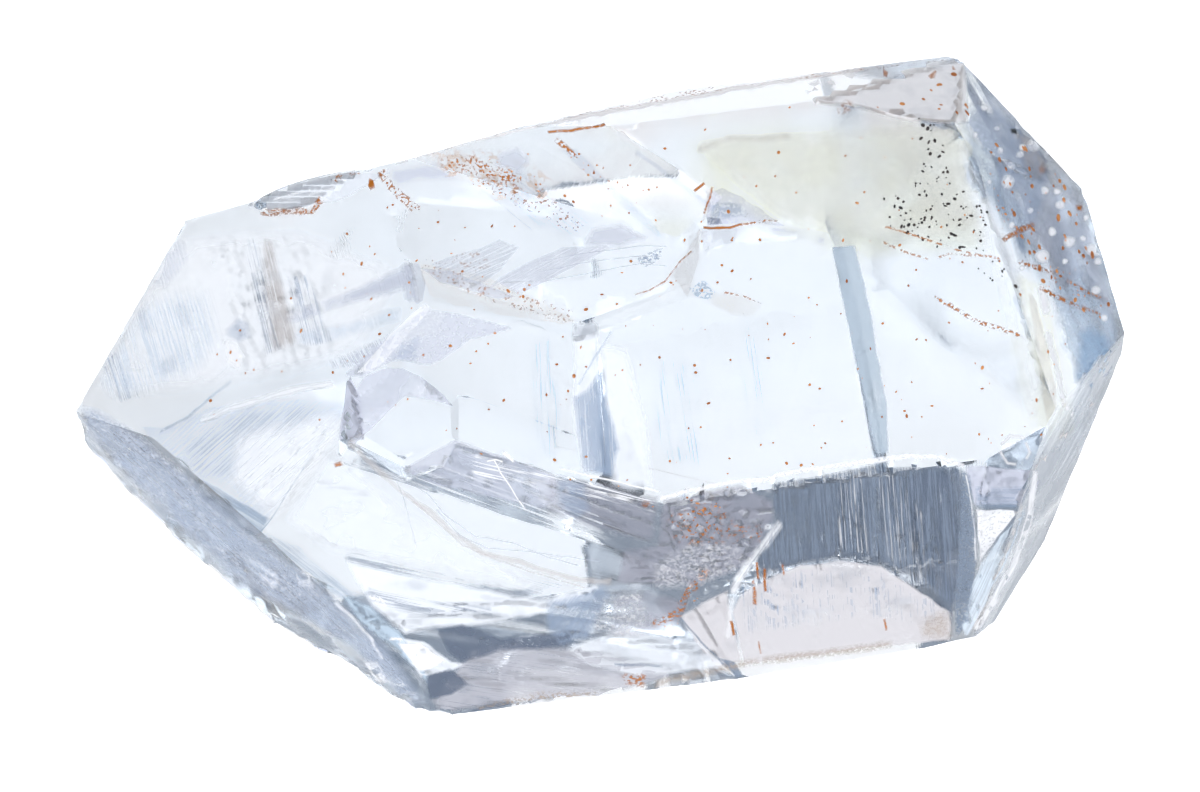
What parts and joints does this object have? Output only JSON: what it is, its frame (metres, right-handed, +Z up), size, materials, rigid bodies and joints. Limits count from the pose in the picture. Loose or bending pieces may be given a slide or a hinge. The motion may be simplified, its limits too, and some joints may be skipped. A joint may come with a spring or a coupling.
{
  "type": "celestite crystal",
  "caption": "Loose clear crystal: a stubby tabular prism with a broad flat face, steep bevelled ends and a tapering broken edge.",
  "frame": {"origin": "centre of the crystal's bounding box, in the plane it rests on", "axes": "+X along the crystal's length, away from its thin broken end; +Z up, the way the broad flat face looks"},
  "size_m": [0.0476, 0.0268, 0.0186],
  "materials": {
    "crystal": "clear, nearly colourless crystal with a faint blue tint, smooth shiny faces, and frosted, striated and broken places"
  },
  "bodies": {
    "root": {"crystal": "crystal"}
  },
  "joints": []
}
